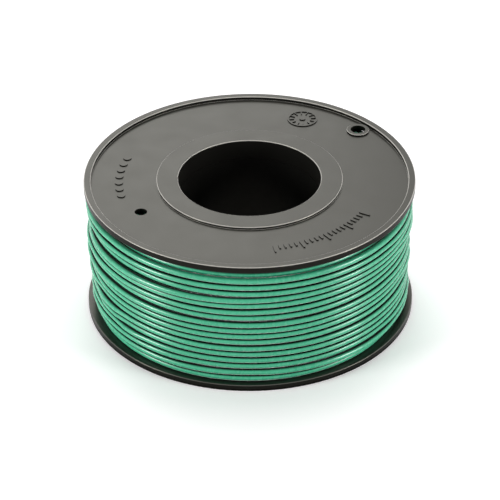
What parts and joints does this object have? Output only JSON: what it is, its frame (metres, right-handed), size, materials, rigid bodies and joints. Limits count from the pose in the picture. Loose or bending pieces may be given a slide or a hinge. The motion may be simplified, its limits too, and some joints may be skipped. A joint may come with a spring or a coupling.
{
  "type": "wire spool",
  "caption": "Flanged plastic spool with a wide open bore, wound full with green insulated single-core copper wire; stands on one flange or turns on an arbor.",
  "frame": {"origin": "centre of the circle that the lower flange's rim rests on", "axes": "+Z along the spool's axis, from the lower flange to the upper one; -Y is the front, +X the right as seen from the front"},
  "size_m": [0.16, 0.16, 0.07],
  "materials": {
    "flange_plastic": "satin black moulded ABS",
    "core_plastic": "satin black moulded ABS",
    "wire_insulation": "semi-gloss green PVC",
    "copper": "drawn copper"
  },
  "bodies": {
    "root": {"upper_flange": "flange_plastic", "lower_flange": "flange_plastic", "ribbed_core": "core_plastic", "wire_layer_01": "wire_insulation", "wire_layer_02": "wire_insulation", "wire_layer_03": "wire_insulation", "wire_layer_04": "wire_insulation", "wire_layer_05": "wire_insulation", "wire_layer_06": "wire_insulation", "wire_layer_07": "wire_insulation", "wire_layer_08": "wire_insulation", "wire_layer_09": "wire_insulation", "wire_layer_10": "wire_insulation", "wire_layer_11": "wire_insulation", "copper_conductor": "copper"}
  },
  "joints": []
}
